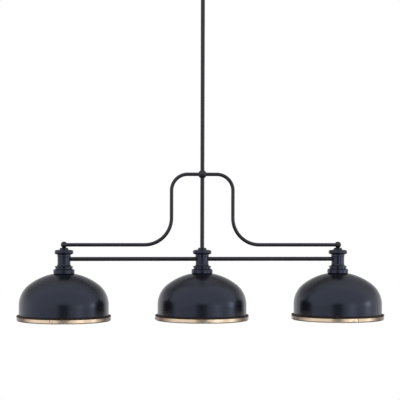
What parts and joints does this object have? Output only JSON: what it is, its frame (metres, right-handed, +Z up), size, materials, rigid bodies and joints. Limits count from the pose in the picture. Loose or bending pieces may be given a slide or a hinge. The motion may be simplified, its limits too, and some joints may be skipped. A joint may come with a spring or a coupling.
{
  "type": "linear island pendant",
  "caption": "Linear island pendant: domed black metal shades with brass trim bands, hung in a row from a bent-tube frame on a rod stem with a swivel canopy.",
  "frame": {"origin": "on the ceiling plane at the stem's axis, midway between the crossbar's two slots", "axes": "+X along the row of shades, +Y away from the picture's viewer, +Z up into the ceiling"},
  "size_m": [1.4297, 0.367, 1.3524],
  "materials": {
    "black_powder_coat": "satin black powder coat on steel and cast metal",
    "aged_brass": "brushed, lacquered aged brass",
    "zinc_steel": "zinc-plated steel",
    "holder_moulding": "moulded phenolic",
    "nickel_shell": "nickel-plated rolled shell",
    "contact_brass": "bare sprung brass",
    "earth_green": "green-dyed screw"
  },
  "bodies": {
    "ceiling_set": {"crossbar": "zinc_steel", "earth_screw": "earth_green", "canopy": "black_powder_coat", "canopy_screws": "black_powder_coat", "canopy_locknut": "zinc_steel", "swivel_bolt": "zinc_steel"},
    "swivel": {"swivel_upper": "black_powder_coat", "swivel_rivet": "black_powder_coat"},
    "hanging_frame": {"arm_left": "black_powder_coat", "arm_right": "black_powder_coat", "bar_left": "black_powder_coat", "bar_right": "black_powder_coat", "center_tube": "black_powder_coat", "end_ball_left": "black_powder_coat", "end_ball_right": "black_powder_coat", "hub_ball": "black_powder_coat", "neck_base_center": "black_powder_coat", "neck_base_left": "black_powder_coat", "neck_base_right": "black_powder_coat", "neck_body_center": "black_powder_coat", "neck_body_left": "black_powder_coat", "neck_body_right": "black_powder_coat", "neck_cap_center": "black_powder_coat", "neck_cap_left": "black_powder_coat", "neck_cap_right": "black_powder_coat", "neck_locknuts": "zinc_steel", "neck_nipples": "zinc_steel", "shade_center": "black_powder_coat", "shade_left": "black_powder_coat", "shade_nut_center": "holder_moulding", "shade_nut_left": "holder_moulding", "shade_nut_right": "holder_moulding", "shade_right": "black_powder_coat", "socket_body_center": "holder_moulding", "socket_body_left": "holder_moulding", "socket_body_right": "holder_moulding", "socket_bracket_center": "zinc_steel", "socket_bracket_left": "zinc_steel", "socket_bracket_right": "zinc_steel", "socket_contact_center": "contact_brass", "socket_contact_left": "contact_brass", "socket_contact_right": "contact_brass", "socket_screws": "zinc_steel", "socket_shell_center": "nickel_shell", "socket_shell_left": "nickel_shell", "socket_shell_right": "nickel_shell", "stem_nipples": "zinc_steel", "stem_rod_lower": "black_powder_coat", "stem_rod_short": "black_powder_coat", "stem_rod_upper": "black_powder_coat", "swivel_lower": "black_powder_coat", "trim_ring_center": "aged_brass", "trim_ring_left": "aged_brass", "trim_ring_right": "aged_brass", "trim_screws_center": "aged_brass", "trim_screws_left": "aged_brass", "trim_screws_right": "aged_brass"}
  },
  "joints": [
    {"name": "swivel_turn", "type": "hinge", "parent": "ceiling_set", "child": "swivel", "pos_m": [0, 0, -0.0573], "axis": [0, 0, 1], "range_deg": [-175, 175]},
    {"name": "stem_tilt", "type": "hinge", "parent": "swivel", "child": "hanging_frame", "pos_m": [0, 0, -0.0573], "axis": [1, 0, 0], "range_deg": [-45, 45]}
  ]
}
